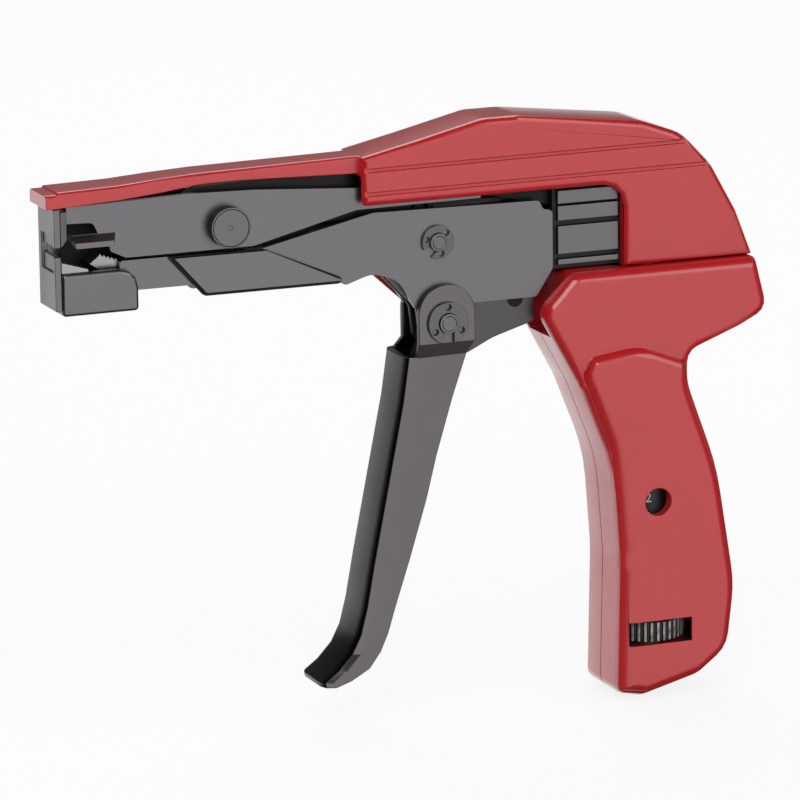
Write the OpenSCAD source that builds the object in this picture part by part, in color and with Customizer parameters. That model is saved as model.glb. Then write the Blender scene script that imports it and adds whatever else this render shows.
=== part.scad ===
// Cable tie tensioning tool: a pistol-shaped hand tool that pulls a cable tie tight and cuts its tail.
// +X runs from the nose to the rear, +Z is up, Y = 0 is the centre plane, near side is -Y.
// Origin: front face of the nose plate, middle of the tie slot. Lengths are millimetres.

/* [Nose] */
// Half width of the nose plate
nose_half = 5.3; // [4.8:0.1:5.5]
// Thickness of the nose plate
nose_t = 1.4; // [1:0.1:1.8]
// Top of the nose plate above the slot
nose_top = 9.2; // [8.6:0.1:9.3]
// Bottom of the nose plate below the slot
nose_drop = 12.7; // [11:0.1:13.5]
// Height of the slot that takes the tie
slot_h = 2; // [1.6:0.1:2.4]
// Half width of the nose block
block_half = 6; // [5.8:0.1:6.6]
// Length of the nose block
block_l = 17.1; // [15:0.1:18]
// Height of the nose block
block_h = 9.2; // [8.6:0.1:10]
// Thickness of the cutting blade
blade_t = 1.4; // [1:0.1:1.6]
// Half width of the cutting blade
blade_half = 5.1; // [4.5:0.1:5.2]

/* [Barrel] */
// Length over which the barrel plates are laid out
barrel_l = 116; // [112:1:120]
// Height over which the barrel plates are laid out
barrel_h = 30; // [29:0.5:31]
// Half gap between the barrel plates
gap_half = 2.75; // [2.7:0.05:3]
// Thickness of the barrel plates
plate_t = 1.2; // [1:0.1:1.4]
// How far the pressed skirt stands out from the plates
skirt_out = 1.35; // [1.2:0.05:1.6]
// Half gap between the trigger brackets
bracket_half = 1.6; // [1.5:0.05:1.6]
// Thickness of the trigger brackets
bracket_t = 1.1; // [1:0.05:1.1]
// Half thickness of the inner levers
lever_half = 1.3; // [1:0.05:1.3]

/* [Pins] */
// Radius of the main rivet's shank
rivet_r = 2.6; // [2:0.1:3]
// Radius of the main rivet's head
rivet_head_r = 4.45; // [4:0.05:5]
// Thickness of the main rivet's head
rivet_head_t = 2.7; // [2:0.1:3]
// Radius of the link pin
link_pin_r = 2; // [1.6:0.1:2.2]
// Radius of the trigger pin
trigger_pin_r = 2.2; // [1.8:0.1:2.4]
// Radius of the tension lever's pin
lever_pin_r = 1.8; // [1.5:0.1:2]
// Radius of the pawl pin
pawl_pin_r = 0.8; // [0.6:0.1:1]
// Running clearance on a radius
fit = 0.05; // [0.03:0.01:0.08]

/* [Trigger] */
// Reach of the trigger below its pin
trigger_l = 78.8; // [76:0.2:81]
// Half width of the trigger's channel
trigger_half = 7.1; // [7:0.1:7.6]
// Sheet thickness of the trigger
trigger_t = 1.5; // [1.2:0.1:1.6]
// Outer bend radius of the trigger's front edges
trigger_bend = 2.5; // [2:0.1:3]
// Outer radius of the trigger's lugs
lug_r = 6.6; // [6.2:0.1:6.8]

/* [Mechanism] */
// Reach of the trigger's drive arm above the trigger pin
arm_reach = 11.9; // [11.7:0.05:12.1]
// Reach of the rocker's upper nose above the link pin
nose_reach = 7.2; // [7:0.1:7.4]
// Radius of the round noses of arm and rocker
knuckle_r = 1.6; // [1.5:0.05:1.65]
// Side clearance of the noses in their forks
fork_play = 0.4; // [0.35:0.05:0.45]
// Swing of the trigger in degrees
trigger_swing = 28; // [24:1:30]
// Swing of the rocker in degrees
rocker_swing = 49; // [42:1:50]

/* [Housing] */
// Length of the upper housing
housing_l = 92.5; // [90:0.5:94]
// Height of the upper housing
housing_h = 35.6; // [34.6:0.2:36.6]
// Half width of the upper housing
housing_half = 7.3; // [7.2:0.1:8]
// Wall of the upper housing
housing_wall = 1.6; // [1.4:0.1:1.6]
// Length of the top strip
strip_l = 73; // [71:0.2:74]
// Half width of the top strip at the nose
strip_half = 5.5; // [5.3:0.1:5.8]
// Depth of the long grooves in the housing
groove_d = 0.5; // [0.3:0.1:0.8]
// Width of the upper groove
groove_w = 0.8; // [0.5:0.1:1.2]

/* [Grip] */
// Width over which the grip is laid out
grip_w = 55; // [53:0.5:57]
// Height over which the grip is laid out
grip_h = 98; // [97:0.5:100]
// Depth of the grip to the near side of the seam
grip_near = 9.8; // [9.6:0.1:10.4]
// Depth of the grip to the far side of the seam
grip_far = 9.5; // [9:0.1:10]
// How far the palm panel stands out
panel_out = 2.2; // [2:0.1:2.6]
// Diameter of the round window
window_d = 6.2; // [5:0.1:7]

/* [Tension] */
// Radius of the tension wheel
wheel_r = 8.4; // [8.2:0.05:8.5]
// Height of the tension wheel
wheel_h = 4.3; // [4:0.1:5]
// Number of ridges on the tension wheel
wheel_ridges = 36; // [24:1:40]
// Radius of the threaded stud
stud_r = 2.4; // [2:0.1:2.6]
// Radius of the indicator drum
drum_r = 5.6; // [5:0.1:5.8]
// Length of the indicator drum
drum_l = 22; // [20:0.5:22]
// Travel of the indicator drum
drum_travel = 8; // [6:0.5:8]
// Outer radius of the tension spring
spring_r = 5.6; // [5:0.1:5.7]
// Wire diameter of the tension spring
spring_wire = 1.3; // [1:0.05:1.4]
// Number of turns of the tension spring
spring_turns = 4.5; // [3.5:0.5:4.5]

/* [Hidden] */

// Overrun of every cut, facet counts and shared small sizes
cut = 1;
arc_steps = 3;
edge_steps = 2;
round_fn = 32;
seat = 0.1;
least_r = 0.05;
edge_r = 1.6;
small_edge = 0.8;

// Places on the barrel, as shares of its length and height, and the plates' outlines [x, z, corner radius]
barrel_over = 0.8;
barrel_z = nose_top + barrel_over - barrel_h;
rivet_share = [0.339, 0.743];
trigger_share = [0.769, -0.107];
spacer_shares = [[0.668, 0.417], [0.901, 0.433], [0.918, 0]];
lower_plate_shares = [[0.124, 0.34, 0], [0.517, 0.335, 0], [0.572, 0.23, 0.033], [0.626, 0.297, 0.2],
    [0.677, 0.227, 0.2], [0.71, 0.01, 0], [0.957, 0.01, 0.033], [0.991, 0.21, 0.067], [0.991, 0.64, 0.033],
    [0.972, 0.653, 0.033], [0.964, 0.72, 0.033], [0.628, 0.74, 0.2], [0.409, 0.557, 0.1], [0.13, 0.56, 0.02]];
upper_plate_shares = [[0.034, 0.733, 0.013], [0.107, 0.733, 0], [0.111, 0.637, 0.033], [0.141, 0.58, 0.1],
    [0.391, 0.58, 0.1], [0.595, 0.773, 0.2], [0.845, 0.78, 0], [0.845, 0.867, 0], [0.591, 0.933, 0.4],
    [0.392, 0.987, 0.6], [0.262, 1, 0], [0.21, 0.993, 0], [0.028, 0.977, 0], [0.028, 0.86, 0],
    [0.079, 0.853, 0.047], [0.088, 0.773, 0], [0.034, 0.773, 0.013]];
far_plate_shares = [[0.034, 0.515, 0.013], [0.118, 0.515, 0.02], [0.125, 0.58, 0.02], [0.391, 0.58, 0.1],
    [0.595, 0.773, 0.2], [0.845, 0.78, 0], [0.845, 0.867, 0], [0.591, 0.933, 0.4], [0.392, 0.987, 0.6],
    [0.262, 1, 0], [0.21, 0.993, 0], [0.028, 0.977, 0], [0.028, 0.86, 0], [0.034, 0.853, 0]];
skirt_shares = [[0.228, 0.523, 0.02], [0.29, 0.253, 0.05], [0.56, 0.25, 0.04], [0.563, 0.293, 0.03],
    [0.407, 0.557, 0.05], [0.219, 0.56, 0.02]];
bracket_shares = [[0.638, 0.33, 0], [0.717, 0, 0.1], [0.724, -0.247, 0.1], [0.772, -0.387, 0.167],
    [0.82, -0.367, 0.1], [0.871, -0.273, 0.5], [0.957, -0.177, 0], [0.957, 0.7, 0], [0.638, 0.7, 0]];
cutter_shares = [[0.04, 0.853, 0], [0.138, 0.807, 0], [0.284, 0.647, 0.1], [0.388, 0.653, 0.1],
    [0.466, 0.88, 0.15], [0.806, 0.887, 0.1], [0.806, 0.893, 0], [0.806, 0.953, 0], [0.586, 1.033, 0.133],
    [0.397, 1.037, 0.133], [0.29, 1.025, 0.1], [0.255, 0.947, 0.1], [0.04, 0.94, 0]];
bar_front_shares = [[0.11, 0.387, 0.02], [0.435, 0.387, 0], [0.435, 0.507, 0], [0.152, 0.507, 0.03],
    [0.11, 0.47, 0.03]];
bar_rear_shares = [[0.38, 0.387, 0], [0.435, 0.387, 0.05], [0.517, 0.687, 0.05], [0.76, 0.687, 0],
    [0.76, 0.84, 0.03], [0.49, 0.84, 0.1], [0.405, 0.507, 0.05], [0.38, 0.507, 0]];
pawl_pin_share = [0.126, 0.413];
pawl_shares = [[0.075, 0.547, 0.01], [0.096, 0.49, 0.03], [0.108, 0.4, 0], [0.126, 0.36, 0], [0.143, 0.413, 0],
    [0.126, 0.497, 0.02], [0.131, 0.547, 0.01]];
tooth_share = [0.093, 0.6];
tooth_count = 5;
ramp_l = 6.2;
ramp_low = 0.6;
ramp_high = 2.5;
ramp_round = 0.3;
leaf_shares = [[0.885, 0.37], [0.846, -0.13], [0.815, -0.24]];
channel_floor_shares = [0.19, 0.53];
front_spring_shares = [[0.19, 0.51], [0.151, 0.51], [0.134, 0.497]];

// Derived barrel places and half widths
function on_barrel(s) = [barrel_l * s.x, barrel_z + barrel_h * s.y];
function barrel_outline(shares) =
    [for (s = shares) [barrel_l * s.x, barrel_z + barrel_h * s.y, barrel_h * s.z]];
rivet_at = on_barrel(rivet_share);
trigger_at = on_barrel(trigger_share);
pawl_at = on_barrel(pawl_pin_share);
plate_out = gap_half + plate_t;
skirt_in = plate_out + fit;
bracket_out = bracket_half + bracket_t;
block_x = nose_t;
block_top = barrel_z + barrel_h * 0.51;
block_z = block_top - block_h;
slot_floor = -slot_h / 2;
slot_far = 3.5;
window_low = -4.4;
window_high = 3.3;
window_far = 2.9;

// Blade, its window and the cutter lever's tongue and tail
blade_x = nose_t + seat;
blade_edge = slot_h / 2 + seat + seat;
blade_lap = 0.6;
blade_top = nose_top - blade_lap;
tongue_z = barrel_z + barrel_h * 0.9;
tongue_h = 1.4;
tongue_play = 0.3;
tail_z = barrel_z + barrel_h * 0.89;
tail_x = barrel_l * 0.845;
tail_r = 1.3;
tail_neck = 1.1;
finger_low = on_barrel(upper_plate_shares[0]).y + seat / 10;
finger_t = 1.15;
finger_drop = 1.3;
finger_out = 2.25;
finger_from = 4;
finger_to = 14.1;
hub_r = 5;

// Clip, rocker and arm sizes
clip_t = 0.8;
clip_share = 1.85;
link_clip_r = link_pin_r * clip_share;
trigger_clip_r = trigger_pin_r * 2.1;
pin_end = 0.6;
neck_share = 0.6;
rocker_hub_r = 3.9;
arm_hub_r = 4.6;
prong_t = 1.7;
prong_reach = 7.5;
slot_start = 4.3;
fork_reach = 5.98;
centre_dist = arm_reach + fork_reach;
centre_lean = -4.84;
link_at = trigger_at + centre_dist * [sin(centre_lean), cos(centre_lean)];
arm_angle = centre_lean + trigger_swing / 2;
fork_angle = 180 + centre_lean - rocker_swing / 2;
nose_angle = -rocker_swing / 2;
knuckle_at = link_at + nose_reach * [sin(nose_angle), cos(nose_angle)];
arm_nose_at = trigger_at + arm_reach * [sin(arm_angle), cos(arm_angle)];

// Trigger stations below its pin, as shares of its reach [z, front, rear]
trigger_shares = [[-0.086, -0.129, 0.049], [-0.213, -0.148, 0.004], [-0.365, -0.18, -0.043],
    [-0.492, -0.206, -0.076], [-0.657, -0.24, -0.128], [-0.784, -0.264, -0.171], [-0.86, -0.284, -0.195],
    [-0.911, -0.31, -0.218], [-0.956, -0.352, -0.252], [-0.985, -0.392, -0.305], [-1, -0.388, -0.35]];
lug_in = plate_out + 0.15;
lug_share = [0, 0.023];
lug_foot_share = -0.056;
arm_tail_shares = [[-0.045, -0.03], [-0.123, -0.19], [-0.15, -0.33], [-0.105, -0.34], [0.02, -0.13],
    [0.055, -0.03]];

// Housing: place, outlines [x, z, corner radius] and inner hollows
strip_from = -1.7;
strip_lap = 1.82;
strip_z = nose_top;
strip_h = 6.5;
strip_round = 0.9;
strip_groove = 1.3;
housing_x = strip_from + strip_l - strip_lap;
housing_z = strip_z - housing_h * 0.66;
guide_l = 16;
guide_from = barrel_l * 0.992 + seat;
guide_end = guide_from + guide_l;
guide_low = barrel_z + barrel_h * 0.195;
guide_high = barrel_z + barrel_h * 0.801;
lever_in = 4.77;
lever_at = [guide_from + lever_in, barrel_z + barrel_h * 0.733];
grip_top = guide_low + 3 * fit;
wall_low = grip_top - 3 * seat;
wall_edge_share = 0.52;
wall_shares = [[0.957, 0.289, 0.3], [0.892, 0.593, 0.337], [0.816, 0.801, 0.281], [0.708, 0.904, 0.337],
    [0.395, 1, 0.337], [0.308, 1, 0.225], [0.135, 0.896, 0.337], [0, 0.82, 0]];
far_wall_shares = [[0.001, 0.079, 0.028], [0.07, 0.031, 0.084], [0.157, -0.177, 0.112], [0.276, -0.267, 0.1],
    [0.416, -0.289, 0], [0.56, -0.295, 0], [0.94, -0.1, 0], [0.9, 0.3, 0], [0.75, 0.6, 0], [0.3, 0.7, 0], [0.001, 0.6, 0]];
wall_mid_share = [0.8, 0.7];
far_wall_mid_share = [0.4, 0.2];
room_shares = [[0.888, -1.2, 0], [0.888, -0.2, 0], [1.009, -0.2, 0]];
room_end_share = 0.83;
room_top_shares = [[0.395, 0.94, 0.3], [0.308, 0.94, 0.2], [0.15, 0.85, 0.2], [0.03, 0.78, 0.05], [0.03, 0.7, 0],
    [-0.02, 0.7, 0]];
groove_shares = [[[0.002, 0.73], [0.83, 0.742]], [[0.002, 0.584], [0.885, 0.592]]];
strip_shares = [[0, 0.035, 0.5, 1], [0.035, 0.035, 0.5, 0.995], [0.037, 0.04, 0.57, 0.99],
    [0.23, 0.14, 0.62, 0.93], [0.357, 0.26, 0.72, 0.89], [0.479, 0.42, 0.79, 0.85], [0.605, 0.43, 0.82, 0.82],
    [1, 0.29, 0.9, 0.75]];

// Tension axis, and the grip's place and outlines
axis_gap = 6.11;
axis_x = guide_end + axis_gap;
grip_x = axis_x - grip_w * 0.496;
grip_z = grip_top - grip_h;
grip_shares = [[0.002, 0.912, 0.041], [0.173, 0.735, 0.204], [0.302, 0.551, 0.408], [0.331, 0.327, 0.612],
    [0.316, 0.014, 0.026], [0.436, 0, 0.031], [0.682, 0.035, 0.082], [0.818, 0.092, 0.082],
    [0.851, 0.245, 0.306], [0.775, 0.52, 0.612], [0.644, 0.724, 0.143], [0.647, 0.79, 0.031],
    [0.873, 0.837, 0.061], [1, 0.872, 0.041], [0.945, 0.996, 0.015], [0.145, 0.996, 0.031]];
grip_mid_share = [0.473, 0.837];
panel_top_shares = [[0.618, 0.776, 0.02], [0.418, 0.82, 0.122], [0.207, 0.804, 0.02], [0.175, 0.765, 0.022]];
panel_mid_share = [0.45, 0.75];
panel_in = 1.45;
saddle_hollow_shares = [[-0.02, 0.85], [0.13, 0.85], [0.13, 0.99], [-0.02, 0.99]];
screw_shares = [[0.76, 0.918], [0.73, 0.37], [0.41, 0.045], [0.24, 0.83]];
screw_r = 1.5;
screw_head_r = 2.8;
screw_head_t = 1.6;
screw_end = -6;
seat_round = 2.5;

// Tension drive: heights and clearances
wheel_play = 0.25;
wheel_skin = 0.3;
axis_y = -(grip_near + panel_out - wheel_skin - wheel_play - wheel_r);
wheel_mid = grip_z + grip_h * 0.156;
wheel_low = wheel_mid - wheel_h / 2;
wheel_gap = 0.2;
washer_t = 0.6;
journal_l = 4.5;
drum_low = grip_z + grip_h * 0.347;
drum_top = drum_low + drum_l;
drum_cap = 2.5;
key_w = 1.4;
key_out = 1.5;
chamber_r = 6.4;
disc_t = 2;
spring_l = 20;
spring_top = drum_top + spring_l;
plunger_rod_r = 2.5;
plunger_cap_l = 6;
plunger_cap_far = 1.5;
plunger_cap_near = -6.2;
plunger_drop = 3.19;
plunger_top = lever_at.y - plunger_drop;
plunger_travel = 2.94;
window_at = [axis_x - 0.8, grip_z + grip_h * 0.46];
wheel_slot_w = 14.4;
wheel_slot_h = 5.3;
slot_rim = 1.2;
slot_side = 2.5;
ridge_d = 0.45;

// Unit vector, corner arcs and insets of a counter-clockwise outline
flat_angle = 88;
function unit(v) = v / norm(v);
function corner(a, b, c, r, n) =
    let (u = unit(a - b), v = unit(c - b), half = acos(u * v) / 2)
    half > flat_angle ? [b] :
    let (
        want = r / tan(half),
        reach = min(want, norm(a - b) * 0.48, norm(c - b) * 0.48),
        rr = reach * tan(half),
        mid = b + unit(u + v) * rr / sin(half),
        s = b + u * reach - mid, e = b + v * reach - mid,
        a0 = atan2(s.y, s.x), turn = atan2(s.x * e.y - s.y * e.x, s * e))
    [for (k = [0:n]) mid + rr * [cos(a0 + turn * k / n), sin(a0 + turn * k / n)]];
function rounded(list, n = arc_steps) =
    let (m = len(list))
    [for (i = [0:m - 1])
        let (a = list[(i + m - 1) % m], b = list[i], c = list[(i + 1) % m])
        each (b.z == undef || b.z <= 0 ? [[b.x, b.y]] : corner([a.x, a.y], [b.x, b.y], [c.x, c.y], b.z, n))];
function inset(p, d) =
    let (m = len(p))
    [for (i = [0:m - 1])
        let (
            q = [p[i].x, p[i].y], f = p[(i + m - 1) % m], g = p[(i + 1) % m],
            u = unit(q - [f.x, f.y]), v = unit([g.x, g.y] - q),
            a = [-u.y, u.x], b = [-v.y, v.x], at = q + (a + b) * d / (1 + a * b),
            r = p[i].z, convex = u.x * v.y - u.y * v.x > 0)
        [at.x, at.y, r <= 0 ? 0 : convex ? max(r - d, least_r) : r + d]];
function stations(points, y) = [for (p = points) [p.x, y, p.y]];

// Solid through rings that all have the same number of points; ends are fans about the ends' middles
module skin(rings, low_mid, high_mid) {
    n = len(rings[0]);
    m = len(rings);
    ones = [for (i = [1:n]) 1];
    mids = [low_mid == undef ? ones * rings[0] / n : low_mid, high_mid == undef ? ones * rings[m - 1] / n : high_mid];
    low_fan = [for (i = [0:n - 1]) [m * n, (i + 1) % n, i]];
    high_fan = [for (i = [0:n - 1]) [m * n + 1, (m - 1) * n + i, (m - 1) * n + (i + 1) % n]];
    sides = [for (k = [0:m - 2]) for (i = [0:n - 1])
        let (a = k * n + i, b = k * n + (i + 1) % n)
        each [[a, b, b + n], [a, b + n, a + n]]];
    polyhedron(concat([for (r = rings) each r], mids), concat(sides, low_fan, high_fan), convexity = 8);
}

// Flat piece between two Y planes
module slab(points, y0, y1) {
    translate([0, y1, 0]) rotate([90, 0, 0]) linear_extrude(y1 - y0, convexity = 8) polygon(rounded(points));
}

// Flat pieces on both sides of the centre plane
module slab_pair(points, y0, y1) {
    slab(points, y0, y1);
    slab(points, -y1, -y0);
}

// Solid between two Y planes with rounded rims of radius r0 and r1; every corner is seen from mid
module pillow(points, y0, y1, r0, r1, mid) {
    low = r0 <= 0 ? [[0, y0]] : [for (k = [0:edge_steps])
        let (a = 90 * k / edge_steps) [r0 * (1 - sin(a)), y0 + r0 * (1 - cos(a))]];
    high = r1 <= 0 ? [[0, y1]] : [for (k = [edge_steps:-1:0])
        let (a = 90 * k / edge_steps) [r1 * (1 - sin(a)), y1 - r1 * (1 - cos(a))]];
    skin([for (s = concat(low, high)) stations(rounded(inset(points, s.x)), s.y)], [mid.x, y0, mid.y],
        [mid.x, y1, mid.y]);
}

// Round bar along Y at a place in the XZ plane
module bar_y(at, r, y0, y1) {
    translate([at.x, y1, at.y]) rotate([90, 0, 0]) cylinder(r = r, h = y1 - y0, $fn = round_fn);
}

// Upright round bar on the tension axis
module bar_z(r, z0, z1) {
    translate([axis_x, axis_y, z0]) cylinder(r = r, h = z1 - z0, $fn = round_fn);
}

// Box from its low and high corners
module box(low, high) {
    translate(low) cube(high - low);
}

// Retaining clip: a ring with three inner lobes, open at one side
module clip(at, pin_r, outer_r, y0, turn) {
    translate([at.x, y0 + clip_t, at.y]) rotate([90, 0, 0]) rotate(turn) linear_extrude(clip_t)
        difference() {
            circle(outer_r, $fn = round_fn);
            circle(pin_r + fit, $fn = round_fn);
            translate([0, -pin_r * neck_share]) square([outer_r + cut, pin_r * neck_share * 2]);
            for (a = [60, 180, 300]) rotate(a) translate([outer_r - pin_r / 2, 0])
                circle(pin_r / 3, $fn = 24);
        }
}

// Top strip, upper body and far half of the grip, one casting
module main_housing() {
    color("#b2282c") difference() {
        union() {
            strip();
            pillow(wall_outline(), -housing_half, housing_half, edge_r, edge_r, on_housing(wall_mid_share));
            pillow(housing_outline(far_wall_shares), small_edge, housing_half - fit, 0, small_edge,
                on_housing(far_wall_mid_share));
            pillow(grip_outline(grip_shares), 0, grip_far, 0, seat_round, on_grip(grip_mid_share));
        }
        slab(room_outline(), -(housing_half - housing_wall), housing_half - housing_wall);
        cutter_groove();
        grooves();
        slab([for (s = saddle_hollow_shares) on_grip(s)], -cut, housing_half - housing_wall);
        tension_hollows();
        for (s = screw_shares) screw_bore(on_grip(s));
    }
}

function housing_outline(shares) =
    [for (s = shares) [housing_x + housing_l * s.x, housing_z + housing_h * s.y, housing_h * s.z]];
function wall_outline() =
    let (edge = housing_z + housing_h * wall_edge_share)
    concat([[housing_x, edge, housing_h * 0.028], [guide_end - seat, edge, housing_h * 0.14],
        [guide_end - seat, wall_low, 0], [housing_x + housing_l, wall_low, 0]], housing_outline(wall_shares));
function room_outline() =
    concat([[on_housing(room_top_shares[5]).x, on_barrel(room_shares[0]).y, 0]], barrel_outline(room_shares),
        [[barrel_l * room_shares[2].x, guide_low - fit, 0], [guide_end + fit, guide_low - fit, 0],
        [guide_end + fit, housing_z + housing_h * room_end_share, 0]], housing_outline(room_top_shares));
function on_housing(s) = [housing_x + housing_l * s.x, housing_z + housing_h * s.y];
function on_grip(s) = [grip_x + grip_w * s.x, grip_z + grip_h * s.y];
function panel_outline() =
    concat([for (i = [2:10]) inset(grip_outline(grip_shares), panel_in)[i]], grip_outline(panel_top_shares));
function grip_outline(shares) =
    [for (s = shares) [grip_x + grip_w * s.x, grip_z + grip_h * s.y, grip_h * s.z]];

// Tapered strip over the barrel, with a lip over the nose
module strip() {
    skin([for (s = strip_shares)
        let (x = strip_from + strip_l * s[0], w = strip_half * s[3],
            low = strip_z + strip_h * s[1], high = strip_z + strip_h * s[2], q = high - strip_round)
        concat(
            [[x, w, low], [x, -w, low]],
            [for (k = [0:edge_steps]) let (a = 90 * k / edge_steps)
                [x, -w + strip_round - strip_round * cos(a), q + strip_round * sin(a)]],
            [for (k = [edge_steps:-1:0]) let (a = 90 * k / edge_steps)
                [x, w - strip_round + strip_round * cos(a), q + strip_round * sin(a)]])]);
}

// Groove under strip and housing for the cutter lever's back
module cutter_groove() {
    box([rivet_at.x + hub_r, -lever_half * 1.5, strip_z - cut],
        [on_housing(room_top_shares[3]).x + cut, lever_half * 1.5,
        strip_z + strip_h * strip_shares[6][1] + strip_groove - seat]);
}

// Two long grooves along the near wall
module grooves() {
    for (g = groove_shares) {
        a = [housing_x + housing_l * g[0].x, housing_z + housing_h * g[0].y];
        b = [housing_x + housing_l * g[1].x, housing_z + housing_h * g[1].y];
        slab([a, b, b + [0, groove_w], a + [0, groove_w]], -housing_half - cut, -housing_half + groove_d);
    }
}

// Room for the tension lever, plunger, spring, drum and wheel, shared by both halves of the grip
module tension_hollows() {
    slot_top = lever_at.y + hub_r + cut;
    box([guide_end - cut, -lever_half - fit * 6, plunger_top - plunger_travel - disc_t * 2],
        [axis_x + plunger_cap_l / 2 + seat * 2, lever_half + fit * 6, slot_top]);
    box([axis_x - plunger_cap_l / 2 - seat * 2, plunger_cap_near - seat * 2,
        plunger_top - disc_t - plunger_travel - cut], [axis_x + plunger_cap_l / 2 + seat * 2,
        plunger_cap_far + seat * 2, plunger_top + cut]);
    bar_z(plunger_rod_r + 4 * fit, spring_top, plunger_top);
    bar_z(chamber_r, drum_low - seat, spring_top + disc_t + seat);
    bar_z(stud_r + 4 * fit, wheel_low, drum_low);
    bar_z(wheel_r + wheel_play, wheel_low - wheel_gap - washer_t, wheel_low + wheel_h + wheel_gap + washer_t);
    bar_z(stud_r + fit, wheel_low - journal_l - seat, wheel_low);
    box([axis_x, axis_y - key_w / 2 - 2 * fit, drum_low - seat],
        [axis_x + drum_r + key_out + 4 * fit, axis_y + key_w / 2 + 2 * fit, drum_top + drum_travel + cut]);
}

// Screw hole from the far side, with a recess for the head
module screw_bore(at) {
    bar_y(at, screw_r + fit, screw_end - seat, grip_far + cut);
    bar_y(at, screw_head_r + 3 * fit, grip_far - screw_head_t - seat, grip_far + cut);
}

// Near half of the grip: saddle, palm panel, round window and wheel slot
module grip_cover() {
    color("#b2282c") difference() {
        union() {
            pillow(grip_outline(grip_shares), -grip_near, 0, seat_round, 0, on_grip(grip_mid_share));
            pillow(panel_outline(), -grip_near - panel_out, -grip_near + seat_round + small_edge,
                panel_out, 0, on_grip(panel_mid_share));
        }
        slab(room_outline(), -(plate_out + housing_wall / 2), cut);
        slab([for (s = saddle_hollow_shares) on_grip(s)], -(housing_half - housing_wall), cut);
        tension_hollows();
        bar_y(window_at, window_d / 2, -grip_near - panel_out - cut, axis_y);
        translate([axis_x - wheel_slot_w / 2, -grip_near - panel_out - cut, wheel_mid - wheel_slot_h / 2])
            cube([wheel_slot_w, grip_near + panel_out + cut + axis_y, wheel_slot_h]);
        translate([axis_x - wheel_slot_w / 2, -grip_near - panel_out + slot_rim, wheel_mid - wheel_slot_h / 2])
            cube([wheel_slot_w + slot_side, grip_near + panel_out - slot_rim + axis_y, wheel_slot_h]);
        for (s = screw_shares) screw_bore(on_grip(s));
    }
}

// Four screws that hold the halves together, heads on the far side
module housing_screws() {
    color("#4a4a4c") for (s = screw_shares) difference() {
        union() {
            bar_y(on_grip(s), screw_r, screw_end, grip_far - screw_head_t);
            bar_y(on_grip(s), screw_head_r, grip_far - screw_head_t, grip_far - seat);
        }
        for (turn = [0, 90]) translate([on_grip(s).x, grip_far, on_grip(s).y]) rotate([0, turn, 0])
            cube([screw_r * 2, screw_head_t, screw_r / 2], center = true);
    }
}

// Upper barrel plate; the near one carries the lanced finger that guides the tie
module upper_plate(shares, y0) {
    difference() {
        slab(barrel_outline(shares), y0, y0 + plate_t);
        bar_y(rivet_at, rivet_r + fit, -plate_out - cut, plate_out + cut);
    }
}

// Finger bent out of the plate over the tie's path
module finger() {
    inner = -plate_out + fit;
    outer = -plate_out - finger_out;
    low = [for (p = [[finger_from, inner], [finger_to, inner], [finger_to - finger_t, outer],
        [finger_from + finger_t / 2, outer]]) [p.x, p.y, p.y == inner ? finger_low : finger_low - finger_drop]];
    skin([low, [for (p = low) p + [0, 0, finger_t]]]);
}

module upper_plate_near() {
    color("#3a3a3d") {
        upper_plate(upper_plate_shares, -plate_out);
        finger();
    }
}

module upper_plate_far() {
    color("#3a3a3d") upper_plate(far_plate_shares, gap_half);
}

// Lower plates, floor and pressed skirts of the barrel
module lower_channel() {
    floor_from = barrel_l * channel_floor_shares[0];
    floor_to = barrel_l * channel_floor_shares[1];
    floor_z = on_barrel(lower_plate_shares[0]).y;
    skirt = barrel_outline(skirt_shares);
    skirt_low = on_barrel(skirt_shares[2]).y;
    color("#3a3a3d") difference() {
        union() {
            slab_pair(barrel_outline(lower_plate_shares), gap_half, plate_out);
            box([floor_from, -gap_half - cut / 2, floor_z], [floor_to, gap_half + cut / 2, floor_z + plate_t * 0.7]);
            slab_pair(inset(skirt, small_edge), plate_out - seat, plate_out + skirt_out);
            slab_pair(skirt, plate_out - seat, plate_out + skirt_out - small_edge);
        }
        bar_y(link_at, link_pin_r + fit, -plate_out - cut, plate_out + cut);
        bar_y(trigger_at, trigger_pin_r + fit, -plate_out - cut, plate_out + cut);
    }
}

// Inner brackets that carry the trigger and the rocker
module trigger_brackets() {
    color("#2e2e30") difference() {
        slab_pair(barrel_outline(bracket_shares), bracket_half, bracket_out);
        bar_y(link_at, link_pin_r + fit, -plate_out, plate_out);
        bar_y(trigger_at, trigger_pin_r + fit, -plate_out, plate_out);
        for (s = spacer_shares) bar_y(on_barrel(s), lever_pin_r, -plate_out, plate_out);
    }
}

// Round posts that keep the brackets apart
module frame_spacers() {
    color("#6b6b6f") for (s = spacer_shares) bar_y(on_barrel(s), lever_pin_r, -gap_half, gap_half);
}

// Nose plate with its window and the slot, open at the near edge
module nose_plate() {
    color("#3a3a3d") difference() {
        box([0, -nose_half, -nose_drop], [nose_t, nose_half, nose_top]);
        box([-cut, -nose_half - cut, slot_floor], [nose_t + cut, slot_far, -slot_floor]);
        box([-cut, -nose_half + (nose_half - window_far) / 2, window_low], [nose_t / 3, slot_far, window_high]);
    }
}

// Block under the tie's path, with a channel for pull bar and pawl
module nose_block() {
    block_outline = [
        [block_x, block_z, small_edge], [block_x + block_l, block_z, small_edge],
        [block_x + block_l, block_top, block_h * 0.45], [block_x, block_top, small_edge]];
    color("#3a3a3d") difference() {
        pillow(block_outline, -block_half, block_half, small_edge, small_edge,
            [block_x + block_l * 0.45, block_z + block_h / 2]);
        box([block_x + block_l * 0.39, -plate_out - fit, block_z + block_h * 0.38],
            [block_x + block_l + cut, plate_out + fit, block_top + cut]);
    }
}

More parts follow.
